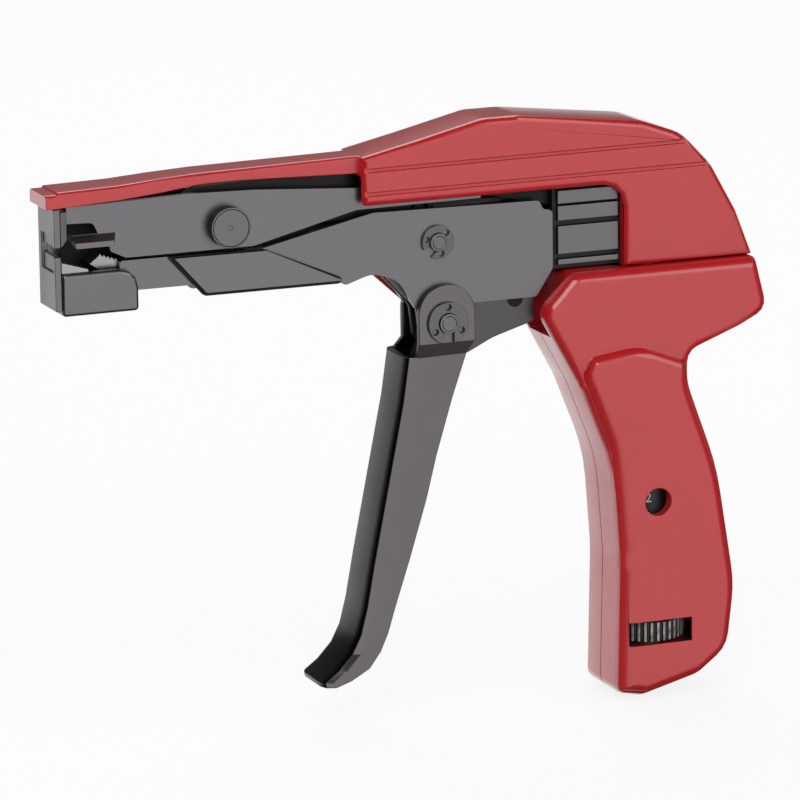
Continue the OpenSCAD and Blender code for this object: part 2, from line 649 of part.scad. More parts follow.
// Sloped steel ramp that holds the pawl open at the front of its stroke
module release_ramp() {
    color("#c9c9cc") slab([[block_x + seat, block_top, 0], [block_x + ramp_l, block_top, 0],
        [block_x + ramp_l, block_top + ramp_low, ramp_round], [block_x + seat, block_top + ramp_high, ramp_round]],
        -blade_half, gap_half - fit);
}

// Main rivet through the barrel plates
module main_rivet() {
    color("#4a4a4d") {
        bar_y(rivet_at, rivet_r, -plate_out, plate_out);
        for (y = [-plate_out - rivet_head_t, plate_out]) bar_y(rivet_at, rivet_head_r, y, y + rivet_head_t);
    }
}

// Pin of the rocker
module link_pin() {
    end = plate_out + clip_t + pin_end;
    color("#4a4a4d") difference() {
        union() {
            bar_y(link_at, link_pin_r, -end, plate_out);
            bar_y(link_at, link_pin_r * clip_share, plate_out, plate_out + clip_t);
        }
    }
}

module link_clip() {
    color("#2a2a2c") clip(link_at, link_pin_r, link_clip_r, -plate_out - clip_t, 225);
}

// Pin of the trigger, flush at the far lug
module trigger_pin() {
    out = lug_in + trigger_t;
    color("#4a4a4d") bar_y(trigger_at, trigger_pin_r, -out - clip_t - pin_end, out);
}

module trigger_clip() {
    color("#2a2a2c") clip(trigger_at, trigger_pin_r, trigger_clip_r, -lug_in - trigger_t - clip_t - fit, 270);
}

// Ribbed block at the rear of the barrel, slotted for the tension lever
module rear_guide() {
    x0 = guide_from;
    x1 = guide_end;
    z0 = guide_low;
    z1 = guide_high;
    core = plate_out - plate_t / 2;
    rib_shares = [[0.06, 0.13], [0.19, 0.536], [0.6, 0.781], [0.806, 0.969]];
    color("#1f1f21") difference() {
        union() {
            box([x0, -core, z0], [x1, core, z1]);
            for (s = rib_shares, side = [-1, 1])
                box([x0 + small_edge, min(0, side * (core + plate_t)), z0 + (z1 - z0) * s[0]],
                    [x1 - small_edge, max(0, side * (core + plate_t)), z0 + (z1 - z0) * s[1]]);
        }
        box([x0 - cut, -lever_half - 4 * fit, lever_at.y - hub_r - cut],
            [x1 + cut, lever_half + 4 * fit, z1 + cut]);
        bar_y(lever_at, lever_pin_r, -core, core + plate_t + cut);
    }
}

// Pin of the tension lever, put in from the far side
module lever_pin() {
    core = plate_out - plate_t / 2;
    color("#6b6b6f") bar_y(lever_at, lever_pin_r, -core + seat, core + plate_t);
}

// Leaf spring that returns the trigger
module return_leaf() {
    t = lever_half * 0.35;
    path = [for (s = leaf_shares) on_barrel(s)];
    color("#8a8a8e") slab([path[0], path[0] + [t, 0], path[1] + [t, -t], path[2] + [0, -t], path[2], path[1]],
        -lever_half, lever_half);
}

// Washers above and below the tension wheel
module wheel_washers() {
    color("#c9c9cc") for (z = [wheel_low - wheel_gap / 2 - washer_t, wheel_low + wheel_h + wheel_gap / 2])
        difference() {
            bar_z(stud_r * 2, z, z + washer_t);
            bar_z(stud_r + 2 * fit, z - cut, z + washer_t + cut);
        }
}

// Ring of the trigger's section, inset from the outer skin by d and open to the rear by extra
function trigger_ring(s, d, extra) =
    let (
        z = trigger_at.y + trigger_l * s[0],
        front = trigger_at.x + trigger_l * s[1] + d, rear = trigger_at.x + trigger_l * s[2] + extra,
        w = trigger_half - d, r = trigger_bend - d)
    concat(
        [[rear, w, z], [rear, -w, z]],
        [for (k = [0:edge_steps]) let (a = 270 - 90 * k / edge_steps)
            [front + r + r * cos(a), -w + r + r * sin(a), z]],
        [for (k = [0:edge_steps]) let (a = 180 - 90 * k / edge_steps)
            [front + r + r * cos(a), w - r + r * sin(a), z]]);

// Pressed channel with a closed tip and two joggled lugs
module trigger() {
    last = len(trigger_shares) - 3;
    top = trigger_shares[0];
    lug_mid = trigger_at + trigger_l * lug_share;
    foot = trigger_at.y + trigger_l * lug_foot_share;
    out = lug_in + trigger_t;
    color("#2b2b2d") difference() {
        union() {
            difference() {
                skin([for (k = [len(trigger_shares) - 1:-1:0]) trigger_ring(trigger_shares[k], 0, 0)]);
                skin(concat(
                    [for (k = [last:-1:0]) trigger_ring(trigger_shares[k], trigger_t, cut)],
                    [trigger_ring([top[0] + cut / trigger_l, top[1], top[2]], trigger_t, cut)]));
            }
            for (side = [-1, 1]) mirror([0, side < 0 ? 0 : 1, 0]) {
                bar_y(lug_mid, lug_r, -out, -lug_in);
                slab([[lug_mid.x - lug_r, foot], [lug_mid.x + lug_r, foot], [lug_mid.x + lug_r, lug_mid.y],
                    [lug_mid.x - lug_r, lug_mid.y]], -out, -lug_in);
                joggle(lug_mid.x - lug_r, lug_mid.x + lug_r, foot, out);
            }
        }
        bar_y(trigger_at, trigger_pin_r + fit, -out - cut, out + cut);
    }
}

// Bent stretch between a lug and the wider channel below it
module joggle(x0, x1, foot, out) {
    low = trigger_ring(trigger_shares[0], 0, 0)[0];
    front = trigger_at.x + trigger_l * trigger_shares[0][1] + trigger_bend;
    skin([
        [[front, -trigger_half + trigger_t, low.z], [low.x, -trigger_half + trigger_t, low.z],
            [low.x, -trigger_half, low.z], [front, -trigger_half, low.z]],
        [[x0, -lug_in, foot], [x1, -lug_in, foot], [x1, -out, foot], [x0, -out, foot]]]);
}

// Arm inside the trigger whose round nose turns the rocker
module drive_arm() {
    neck = knuckle_r * neck_share;
    dir = unit(arm_nose_at - trigger_at);
    side = [dir.y, -dir.x] * neck;
    color("#55555a") difference() {
        union() {
            bar_y(trigger_at, arm_hub_r, -lever_half, lever_half);
            bar_y(arm_nose_at, knuckle_r, -lever_half, lever_half);
            slab([trigger_at - side, trigger_at + side, arm_nose_at + side, arm_nose_at - side],
                -lever_half, lever_half);
            slab([for (s = arm_tail_shares) trigger_at + trigger_l * s], -lever_half, lever_half);
        }
        bar_y(trigger_at, trigger_pin_r + fit, -lever_half - cut, lever_half + cut);
    }
}

// Rocker on the link pin: fork below, round nose above
module rocker() {
    neck = knuckle_r * neck_share;
    up = [sin(nose_angle), cos(nose_angle)] * nose_reach;
    side = [cos(nose_angle), -sin(nose_angle)] * neck;
    half_slot = knuckle_r + fork_play;
    color("#77777c") difference() {
        union() {
            bar_y(link_at, rocker_hub_r, -lever_half, lever_half);
            bar_y(link_at + up, knuckle_r, -lever_half, lever_half);
            slab([link_at - side, link_at + side, link_at + up + side, link_at + up - side],
                -lever_half, lever_half);
            translate([link_at.x, 0, link_at.y]) rotate([0, fork_angle, 0]) difference() {
                box([-half_slot - prong_t, -lever_half, 0], [half_slot + prong_t, lever_half, prong_reach]);
                box([-half_slot, -lever_half - cut, slot_start - seat], [half_slot, lever_half + cut,
                    prong_reach + cut]);
            }
        }
        bar_y(link_at, link_pin_r + fit, -lever_half - cut, lever_half + cut);
    }
}

// Pull bar: wide front fork for the pawl, narrow rear hook over the rocker's nose
module pull_bar() {
    wide = gap_half - 6 * fit;
    half_slot = knuckle_r + fork_play * 0.75;
    color("#77777c") difference() {
        union() {
            slab(barrel_outline(bar_front_shares), -wide, wide);
            slab(barrel_outline(bar_rear_shares), -lever_half, lever_half);
        }
        box([pawl_at.x - block_l, -lever_half, barrel_z],
            [pawl_at.x + barrel_l * 0.022, lever_half, barrel_z + barrel_h]);
        box([knuckle_at.x - half_slot, -lever_half - cut, knuckle_at.y - nose_reach],
            [knuckle_at.x + half_slot, lever_half + cut, knuckle_at.y + knuckle_r + 1]);
        bar_y(pawl_at, pawl_pin_r, -wide - cut, wide + cut);
    }
}

module pawl_pin() {
    wide = gap_half - 6 * fit;
    color("#c9c9cc") bar_y(pawl_at, pawl_pin_r, -wide, wide);
}

// Small leaf that lifts the pawl
module pawl_spring() {
    t = lever_half * 0.25;
    path = [for (s = front_spring_shares) on_barrel(s)];
    color("#8a8a8e") slab([path[0], path[0] + [0, t], path[1] + [0, t], path[2] + [0, t], path[2], path[1]],
        -lever_half / 2, lever_half / 2);
}

// Pawl with a toothed head as wide as the barrel's gap and a narrow hub
module gripper_pawl() {
    wide = gap_half - 6 * fit;
    head_low = on_barrel(pawl_shares[1]).y;
    first = on_barrel(tooth_share);
    end = on_barrel(pawl_shares[6]);
    step = (end - first) / tooth_count;
    rise = [-step.y, step.x] * neck_share;
    teeth = [for (k = [tooth_count - 1:-1:0]) each [first + step * (k + 1), first + step * k + rise]];
    base = [for (s = pawl_shares) on_barrel(s)];
    color("#cfcfd2") difference() {
        union() {
            slab([base[0], base[1], base[2], base[3], base[4], base[5]], -lever_half + fit, lever_half - fit);
            slab(concat([base[0], base[1], base[5]], teeth, [first]), -wide, wide);
        }
        bar_y(pawl_at, pawl_pin_r + fit, -wide - cut, wide + cut);
    }
}

// Cutter lever on the main rivet: tongue in the blade, thin tail in the tension lever's jaws
module cutter_lever() {
    half = lever_half * 1.15;
    tail = [tail_x, tail_z];
    root_x = barrel_l * 0.806;
    color("#77777c") difference() {
        union() {
            slab(barrel_outline(cutter_shares), -half, half);
            bar_y(rivet_at, hub_r, -gap_half + 2 * fit, gap_half - 2 * fit);
            box([blade_x + blade_t / 3, -half, tongue_z - tongue_h / 2],
                [on_barrel(cutter_shares[0]).x + cut, half, tongue_z + tongue_h / 2]);
            box([root_x - cut, -lever_half, tail_z - tail_neck / 2], [tail_x, lever_half, tail_z + tail_neck / 2]);
            bar_y(tail, tail_r, -lever_half, lever_half);
        }
        bar_y(rivet_at, rivet_r + fit, -gap_half - cut, gap_half + cut);
    }
}

// Cutting blade behind the nose plate, with a bevelled edge and a window for the lever's tongue
module blade() {
    half = lever_half * 1.15 + tongue_play / 2;
    x1 = blade_x + blade_t;
    bevel = blade_t;
    color("#9a9aa0") difference() {
        rotate([0, 0, 90]) translate([0, -x1, 0]) slab([[-blade_half, blade_edge], [blade_half, blade_edge],
            [blade_half, blade_top], [-blade_half, blade_top]], 0, blade_t);
        rotate([90, 0, 0]) translate([0, 0, -blade_half - cut]) linear_extrude(2 * (blade_half + cut))
            polygon([[blade_x + blade_t / 4, blade_edge - cut], [x1 + cut, blade_edge - cut],
                [x1 + cut, blade_edge + bevel + cut], [x1, blade_edge + bevel], [blade_x + blade_t / 4, blade_edge]]);
        box([blade_x - cut, -half, tongue_z - tongue_h / 2 - tongue_play],
            [x1 + cut, half, tongue_z + tongue_h / 2 + tongue_play]);
    }
}

// Tension lever: front jaws on the cutter lever's tail, rear nose on the plunger
module tension_lever() {
    gap = tail_r + tongue_play;
    jaw_from = tail_x - tail_r * 2.3;
    jaw_to = tail_x + tail_r * 2.5;
    jaw = tail_r * 1.3;
    color("#77777c") difference() {
        union() {
            bar_y(lever_at, hub_r - cut, -lever_half, lever_half);
            slab([[jaw_to - cut, tail_z - gap - jaw], [lever_at.x, lever_at.y - hub_r + 2 * cut],
                [axis_x - plunger_cap_l / 2 - cut, plunger_top + 2 * seat], [axis_x + cut, plunger_top + 2 * seat],
                [axis_x + 2 * cut, plunger_top + 3 * cut], [lever_at.x, lever_at.y + hub_r - cut],
                [jaw_to, tail_z + gap + jaw]], -lever_half, lever_half);
            box([jaw_from, -lever_half, tail_z - gap - jaw], [jaw_to, lever_half, tail_z + gap + jaw]);
        }
        box([jaw_from - cut, -lever_half - cut, tail_z - gap], [jaw_to - jaw / 2, lever_half + cut, tail_z + gap]);
        bar_y(lever_at, lever_pin_r + fit, -lever_half - cut, lever_half + cut);
    }
}

// Plunger between tension lever and spring
module spring_plunger() {
    color("#8f8f94") {
        box([axis_x - plunger_cap_l / 2, plunger_cap_near, plunger_top - disc_t],
            [axis_x + plunger_cap_l / 2, plunger_cap_far, plunger_top]);
        bar_z(plunger_rod_r, spring_top, plunger_top - disc_t);
        bar_z(spring_r, spring_top, spring_top + disc_t);
    }
}

// Compression spring: one unbroken tube with flat-lying end turns
module tension_spring() {
    rings = 8;
    sides = 6;
    w = spring_wire;
    r = spring_r - w / 2;
    low = drum_top + w / 2;
    high = spring_top - w / 2;
    total = spring_turns * rings;
    function rise(k) = let (t = k / total, lead = 0.7 / spring_turns)
        t < lead ? 0 : t > 1 - lead ? 1 : (t - lead) / (1 - 2 * lead);
    function mid(k) = let (a = 360 * k / rings)
        [axis_x + r * cos(a), axis_y + r * sin(a), low + (high - low) * rise(k)];
    function ring(k) = let (p = mid(k), a = 360 * k / rings, out = [cos(a), sin(a), 0])
        [for (i = [0:sides - 1]) let (b = 360 * i / sides)
            p + w / 2 * (cos(b) * out + sin(b) * [0, 0, 1])];
    points = [for (k = [0:total]) mid(k)];
    echo(least_gap = min([for (i = [0:total - rings]) for (j = [i + rings - 2:total])
        norm(points[j] - points[i])]) - w);
    color("#9a9a9e") skin([for (k = [0:total]) ring(k)]);
}

// Drum that shows the setting in the window, with a key that stops it turning
module indicator_drum() {
    color("#1d1d1f") difference() {
        union() {
            bar_z(drum_r, drum_low, drum_top);
            box([axis_x, axis_y - key_w / 2, drum_low], [axis_x + drum_r + key_out, axis_y + key_w / 2,
                drum_low + drum_l]);
        }
        bar_z(stud_r + fit, drum_low - cut, drum_top - drum_cap);
    }
}

// Knurled wheel with its journal and threaded stud
module tension_wheel() {
    color("#1f1f21") {
        difference() {
            bar_z(wheel_r, wheel_low, wheel_low + wheel_h);
            for (k = [0:wheel_ridges - 1]) translate([axis_x, axis_y, wheel_low - cut])
                rotate(360 * k / wheel_ridges) translate([wheel_r, 0, 0])
                    cylinder(r = ridge_d, h = wheel_h + 2 * cut, $fn = 16);
        }
        bar_z(stud_r, wheel_low - journal_l, wheel_low);
        bar_z(stud_r, wheel_low + wheel_h, drum_top - drum_cap - cut);
    }
}

main_housing();
grip_cover();
housing_screws();
upper_plate_near();
upper_plate_far();
lower_channel();
trigger_brackets();
frame_spacers();
nose_plate();
nose_block();
release_ramp();
main_rivet();
link_pin();
link_clip();
trigger_pin();
trigger_clip();
rear_guide();
lever_pin();
return_leaf();
wheel_washers();
trigger();
drive_arm();
rocker();
pull_bar();
pawl_pin();
pawl_spring();
gripper_pawl();
cutter_lever();
blade();
tension_lever();
spring_plunger();
tension_spring();
indicator_drum();
tension_wheel();
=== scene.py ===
"""Looks of the cable tie tensioning tool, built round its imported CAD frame.

Each sub-assembly is a class: it copies or models its pieces, finishes them and hangs them on their CAD
bodies. The frame is the CAD's: +X from the nose to the grip, +Z up, near side -Y. Blender works in
metres. A name that ends in mm is in millimetres, and so is each place that shapes or tints a piece.
"""

import logging
import math
from collections.abc import Callable
from dataclasses import dataclass, field
from enum import Enum

import bpy
from mathutils import Matrix, Vector


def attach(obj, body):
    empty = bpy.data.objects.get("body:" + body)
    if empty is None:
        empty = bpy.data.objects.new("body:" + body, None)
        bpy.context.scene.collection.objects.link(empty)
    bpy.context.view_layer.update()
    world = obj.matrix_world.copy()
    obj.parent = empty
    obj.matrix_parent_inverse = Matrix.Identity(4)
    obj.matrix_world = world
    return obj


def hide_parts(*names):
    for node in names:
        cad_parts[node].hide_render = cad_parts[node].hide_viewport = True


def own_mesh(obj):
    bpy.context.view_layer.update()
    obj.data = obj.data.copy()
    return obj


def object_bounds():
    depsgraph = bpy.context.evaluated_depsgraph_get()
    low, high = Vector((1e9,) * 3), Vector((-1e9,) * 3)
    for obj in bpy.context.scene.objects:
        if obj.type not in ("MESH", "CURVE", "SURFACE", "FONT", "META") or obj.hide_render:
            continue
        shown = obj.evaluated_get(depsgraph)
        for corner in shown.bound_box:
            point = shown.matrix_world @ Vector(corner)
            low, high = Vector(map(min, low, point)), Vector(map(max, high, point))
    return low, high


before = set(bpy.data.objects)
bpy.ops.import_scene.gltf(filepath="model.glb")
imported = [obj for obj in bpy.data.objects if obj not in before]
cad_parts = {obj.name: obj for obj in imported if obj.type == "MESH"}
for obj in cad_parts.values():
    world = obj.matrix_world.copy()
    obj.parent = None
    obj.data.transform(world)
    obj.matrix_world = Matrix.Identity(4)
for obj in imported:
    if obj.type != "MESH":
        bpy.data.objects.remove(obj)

MM = 0.001
CAD_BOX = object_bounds()
WHITE = "#FFFFFF"
# Sockets of the Mix node when it mixes colours
MIX_A, MIX_B, MIX_RESULT = 6, 7, 2
# Axis that drum, spring and wheel share: X and Y
DIAL_AXIS_MM = (137.28, -3.05)
log = logging.getLogger("tie_tool")

# Moves a corner of a piece
Shaper = Callable[[Vector], Vector]
# Says of a face's centre and normal whether the face is chosen
Chooser = Callable[[Vector, Vector], bool]


def linear(hex_colour: str) -> tuple[float, float, float, float]:
    """Turns an sRGB hex colour into linear values.

    Args:
        hex_colour: six hex digits after a hash.

    Returns:
        Red, green, blue and alpha for a shader socket.
    """
    parts = [int(hex_colour[i : i + 2], 16) / 255 for i in (1, 3, 5)]
    return (*[p / 12.92 if p <= 0.04045 else ((p + 0.055) / 1.055) ** 2.4 for p in parts], 1.0)


def add_node(
    tree: bpy.types.NodeTree,
    kind: str,
    settings: dict[str, object] | None = None,
    inputs: dict[str | int, object] | None = None,
) -> bpy.types.Node:
    """Adds one shader node with its settings and its inputs.

    Args:
        tree: node tree that takes the node.
        kind: type name of the node.
        settings: attributes of the node and their values.
        inputs: socket names or numbers, each with a value or an output socket to link from.

    Returns:
        The new node.
    """
    node = tree.nodes.new(kind)
    for key, value in (settings or {}).items():
        setattr(node, key, value)
    for key, value in (inputs or {}).items():
        if isinstance(value, bpy.types.NodeSocket):
            tree.links.new(value, node.inputs[key])
        else:
            node.inputs[key].default_value = value
    return node


@dataclass(frozen=True)
class Finish:
    """One surface, real or standing in for shade, sheen or highlights: its colours, its gloss, and the sizes
    of its grain and wear.
    """

    name: str
    colour: str
    worn_colour: str
    metallic: float
    roughness: float
    roughness_spread: float
    grain_mm: float
    grain_depth_mm: float
    # Below 1 the grain is drawn out along that axis
    stretch: tuple[float, float, float] = (1.0, 1.0, 1.0)
    mottle_mm: float = 9.0
    mottle_share: float = 0.25
    coat: float = 0.0
    coat_roughness: float = 0.1
    # Slot of the record that the finish belongs to, where it isn't the name
    kind: str = ""
    mottle_detail: float = 4.0
    mottle_roughness: float = 0.6
    grain_detail: float = 3.0
    # Levels of the mottle between which wear and roughness grow
    wear_levels: tuple[float, float] = (0.4, 0.75)
    gloss_levels: tuple[float, float] = (0.3, 0.7)

    @property
    def slot(self) -> str:
        """Name of the record's material slot."""
        return self.kind or self.name

    @property
    def title(self) -> str:
        """Name of the Blender material, which differs from the frame's own plain one."""
        return f"{self.name}_finish"

    def material(self) -> bpy.types.Material:
        """Returns the finish's material, made on first use."""
        return bpy.data.materials.get(self.title) or self._build()

    def _build(self) -> bpy.types.Material:
        """Builds mottled colour, uneven gloss and fine grain, all on object coordinates.

        Returns:
            The new material.
        """
        material = bpy.data.materials.new(self.title)
        material.use_nodes = True
        tree = material.node_tree
        shader = tree.nodes["Principled BSDF"]
        place = add_node(tree, "ShaderNodeTexCoord").outputs["Object"]
        grain_place = add_node(
            tree, "ShaderNodeMapping", inputs={"Vector": place, "Scale": self.stretch}
        ).outputs["Vector"]
        mottle = add_node(
            tree,
            "ShaderNodeTexNoise",
            inputs={
                "Vector": place,
                "Scale": 1 / (self.mottle_mm * MM),
                "Detail": self.mottle_detail,
                "Roughness": self.mottle_roughness,
            },
        ).outputs["Fac"]
        grain = add_node(
            tree,
            "ShaderNodeTexNoise",
            inputs={"Vector": grain_place, "Scale": 1 / (self.grain_mm * MM), "Detail": self.grain_detail},
        ).outputs["Fac"]
        worn = add_node(
            tree,
            "ShaderNodeMapRange",
            inputs={
                "Value": mottle,
                "From Min": self.wear_levels[0],
                "From Max": self.wear_levels[1],
                "To Max": self.mottle_share,
            },
        ).outputs["Result"]
        colour = add_node(
            tree,
            "ShaderNodeMix",
            {"data_type": "RGBA"},
            {"Factor": worn, MIX_A: linear(self.colour), MIX_B: linear(self.worn_colour)},
        ).outputs[MIX_RESULT]
        gloss = add_node(
            tree,
            "ShaderNodeMapRange",
            inputs={
                "Value": mottle,
                "From Min": self.gloss_levels[0],
                "From Max": self.gloss_levels[1],
                "To Min": self.roughness - self.roughness_spread,
                "To Max": self.roughness + self.roughness_spread,
            },
        ).outputs["Result"]
        bump = add_node(
            tree,
            "ShaderNodeBump",
            inputs={"Height": grain, "Distance": self.grain_depth_mm * MM, "Strength": 1.0},
        ).outputs["Normal"]
        tree.links.new(colour, shader.inputs["Base Color"])
        tree.links.new(gloss, shader.inputs["Roughness"])
        tree.links.new(bump, shader.inputs["Normal"])
        shader.inputs["Metallic"].default_value = self.metallic
        shader.inputs["Coat Weight"].default_value = self.coat
        shader.inputs["Coat Roughness"].default_value = self.coat_roughness
        return material


class Surface(Enum):
    """Finishes of the tool, each named for its slot of the record or with that slot as its kind.

    A row gives the name, the colour and its worn colour, metallic, roughness and its spread, and the
    grain's size and depth. Rolling lines and moulded grain are finer on real steel and nylon, and are drawn
    as coarse as they need to be to show.
    """

    # Baked enamel over a cast body: deep red, clear gloss, a faint orange peel
    RED_PAINT = Finish("red_paint", "#B3161C", "#A31218", 0.0, 0.3, 0.04, 1.6, 0.004, mottle_mm=14, coat=1.0)
    # Black oxide on pressed steel: a satin grey sheen with rolling lines along X
    BLACK_STEEL = Finish("black_steel", "#7C7A7D", "#888689", 1.0, 0.34, 0.05, 0.35, 0.002, (0.12, 1, 1))
    # Burnished black oxide on the pressed trigger, glossier than the plates
    BLACK_PAINT = Finish("black_paint", "#726E72", "#656165", 1.0, 0.26, 0.04, 0.9, 0.002, mottle_mm=22)
    # Painted shade: the same oxide drawn darker on the trigger's front and rounded edges, and glossier
    FINGER_BLACK = Finish(
        "trigger_shade", "#3A3637", "#2E2A2B", 1.0, 0.24, 0.04, 0.9, 0.002, kind="black_paint"
    )
    # Phosphated block, satin
    BLOCK_STEEL = Finish("block_steel", "#7B797C", "#868487", 1.0, 0.36, 0.05, 0.5, 0.003, kind="dark_steel")
    # Turned and blackened steel
    DARK_STEEL = Finish("dark_steel", "#5E5C5F", "#6C6A6D", 1.0, 0.36, 0.06, 0.5, 0.002)
    # Turned heads, satin like the plates
    HEAD_STEEL = Finish("head_steel", "#777578", "#828083", 1.0, 0.34, 0.05, 0.5, 0.002, kind="dark_steel")
    # Oxided spring steel of the clips
    BLUED_STEEL = Finish("blued_steel", "#6F6D70", "#7A787B", 1.0, 0.34, 0.05, 0.4, 0.002)
    # Plain turned steel
    PLAIN_STEEL = Finish("plain_steel", "#9A999B", "#8A898C", 1.0, 0.34, 0.06, 0.3, 0.002)
    # Painted shade: near-black steel for pieces in the dark of the barrel and for shaded faces of plates,
    # skirt and rivet
    GREASED_STEEL = Finish(
        "shade_steel", "#171618", "#232124", 0.6, 0.5, 0.08, 0.6, 0.004, kind="plain_steel"
    )
    # Ground steel, nearly white where it faces the light
    BRIGHT_STEEL = Finish("bright_steel", "#A9A8AA", "#959496", 1.0, 0.26, 0.05, 0.25, 0.002)
    # Hardened blade, grey oxide
    BLADE_STEEL = Finish(
        "blade_steel", "#6A686B", "#777578", 1.0, 0.34, 0.05, 0.25, 0.002, kind="bright_steel"
    )
    # Stamped steel, drawn dark as painted shade inside the barrel
    LEVER_STEEL = Finish("lever_steel", "#2A292B", "#39383A", 0.9, 0.42, 0.07, 0.4, 0.003, (0.15, 1, 1))
    # Drawn wire
    SPRING_STEEL = Finish("spring_steel", "#8B8A8D", "#747376", 1.0, 0.3, 0.05, 0.3, 0.001)
    # Moulded nylon with a fine spark-eroded grain
    BLACK_PLASTIC = Finish("black_plastic", "#0E0E0F", "#161617", 0.0, 0.5, 0.05, 0.4, 0.008)
    # Painted sheen: outer faces of the guide's ribs drawn as satin grey metal
    RUBBED_RIB = Finish("rib_sheen", "#7A787B", "#858386", 1.0, 0.38, 0.05, 0.4, 0.004, kind="black_plastic")
    # Satin drum of the setting
    DIAL_PLASTIC = Finish("dial_plastic", "#1A1A1C", "#232325", 0.0, 0.36, 0.05, 0.5, 0.004)
    # White printing on the drum
    DIAL_PRINT = Finish("dial_print", "#E9E9E6", "#D4D4D0", 0.0, 0.5, 0.04, 0.3, 0.001, kind="dial_plastic")
    # Moulded ridged wheel, black between its ridges
    WHEEL_PLASTIC = Finish("wheel_plastic", "#0B0B0C", "#121213", 0.0, 0.45, 0.05, 0.4, 0.005)
    # Painted highlights on the ridge tips: pale, some more than others
    RIDGE_TIP = Finish(
        "ridge_highlight",
        "#9C9C98",
        "#262627",
        0.0,
        0.4,
        0.05,
        0.4,
        0.004,
        stretch=(1, 1, 0.2),
        mottle_mm=1.6,
        mottle_share=1.0,
        kind="wheel_plastic",
    )


@dataclass(frozen=True)
class SideArea:
    """A rectangle in side view, by its reach along X and along Z."""

    x_mm: tuple[float, float]
    z_mm: tuple[float, float]

    def holds(self, place: Vector) -> bool:
        """Says whether a place lies inside the rectangle."""
        return self.x_mm[0] < place.x < self.x_mm[1] and self.z_mm[0] < place.z < self.z_mm[1]


@dataclass(frozen=True)
class EdgeRow:
    """A row of corners along the grip's front edge: where it lies, and how far forward it is drawn."""

    depth_mm: float
    rear_mm: float
    shift_mm: float


def deselect_all() -> None:
    """Leaves nothing selected and nothing in edit mode."""
    if bpy.context.object and bpy.context.object.mode != "OBJECT":
        bpy.ops.object.mode_set(mode="OBJECT")
    bpy.ops.object.select_all(action="DESELECT")


def make_active(piece: bpy.types.Object) -> None:
    """Selects one piece alone and makes it the active one.

    Args:
        piece: object that the next operators act on.
    """
    deselect_all()
    piece.select_set(True)
    bpy.context.view_layer.objects.active = piece


@dataclass
class SubAssembly:
    """A group of pieces that are finished in the same way and ride on one CAD body."""

    body: str = "frame"
    # Corners closer than this are merged, and faces flatter than this are joined
    merge_mm: float = 0.06
    flat_deg: float = 0.6
    rounding_steps: int = 3
    # A face looks along an axis when its normal's share on that axis is above this
    facing: float = 0.9

    def finish_piece(self, piece: bpy.types.Object, surface: Surface, *nodes: str) -> bpy.types.Object:
        """Gives a piece its material and its body, and hides the CAD nodes that it stands for.

        Args:
            piece: finished mesh object.
            surface: finish of the piece.
            nodes: CAD nodes that the piece replaces.

        Returns:
            The same piece.
        """
        piece.data.materials.clear()
        piece.data.materials.append(surface.value.material())
        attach(piece, self.body)
        if nodes:
            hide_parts(*nodes)
        log.info("%s: %s, %d faces", self.body, piece.name, len(piece.data.polygons))
        return piece

    def tint(self, piece: bpy.types.Object, surface: Surface, chosen: Chooser) -> None:
        """Gives some faces of a piece a second finish.

        Args:
            piece: finished piece.
            surface: finish of the chosen faces.
            chosen: picks the faces.
        """
        piece.data.materials.append(surface.value.material())
        last = len(piece.data.materials) - 1
        for face in piece.data.polygons:
            if chosen(face.center / MM, face.normal):
                face.material_index = last

    def paint_node(self, node: str, surface: Surface) -> None:
        """Puts a finish on a CAD node that keeps its own shape.

        Args:
            node: CAD node to paint.
            surface: finish of the node.
        """
        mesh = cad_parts[node].data
        mesh.materials.clear()
        mesh.materials.append(surface.value.material())
        log.info("%s: node %s painted", self.body, node)

    def soften(
        self,
        node: str,
        surface: Surface,
        width_mm: float,
        smooth_deg: float = 40,
        from_deg: float = 35,
        shape: Shaper | None = None,
    ) -> bpy.types.Object:
        """Replaces a CAD node by a merged copy with rounded edges.

        Args:
            node: CAD node to copy.
            surface: finish of the copy.
            width_mm: width of the rounding on each edge, or zero for sharp edges.
            smooth_deg: edges below this angle are shaded smooth.
            from_deg: edges above this angle are rounded.
            shape: moves the corners of the copy before the edges are rounded.

        Returns:
            The finished copy.
        """
        piece = bpy.data.objects.new(f"{node}_dressed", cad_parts[node].data.copy())
        bpy.context.scene.collection.objects.link(piece)
        make_active(piece)
        bpy.ops.object.mode_set(mode="EDIT")
        bpy.ops.mesh.select_all(action="SELECT")
        bpy.ops.mesh.remove_doubles(threshold=self.merge_mm * MM)
        bpy.ops.mesh.dissolve_limited(angle_limit=math.radians(self.flat_deg))
        bpy.ops.object.mode_set(mode="OBJECT")
        if shape:
            for corner in piece.data.vertices:
                corner.co = shape(corner.co / MM) * MM
        if width_mm:
            bevel = piece.modifiers.new("edge rounding", "BEVEL")
            bevel.width = width_mm * MM
            bevel.segments = self.rounding_steps
            bevel.limit_method = "ANGLE"
            bevel.angle_limit = math.radians(from_deg)
            bevel.use_clamp_overlap = False
            bpy.ops.object.modifier_apply(modifier=bevel.name)
        self.shade(piece, smooth_deg)
        return self.finish_piece(piece, surface, node)

    def shade(self, piece: bpy.types.Object, smooth_deg: float) -> None:
        """Shades small angles smooth and keeps flat faces flat.

        Args:
            piece: active mesh object.
            smooth_deg: edges below this angle are shaded smooth.
        """
        bpy.ops.mesh.customdata_custom_splitnormals_clear()
        bpy.ops.object.shade_smooth_by_angle(angle=math.radians(smooth_deg))
        weigh = piece.modifiers.new("flat faces stay flat", "WEIGHTED_NORMAL")
        weigh.keep_sharp = True
        bpy.ops.object.modifier_apply(modifier=weigh.name)


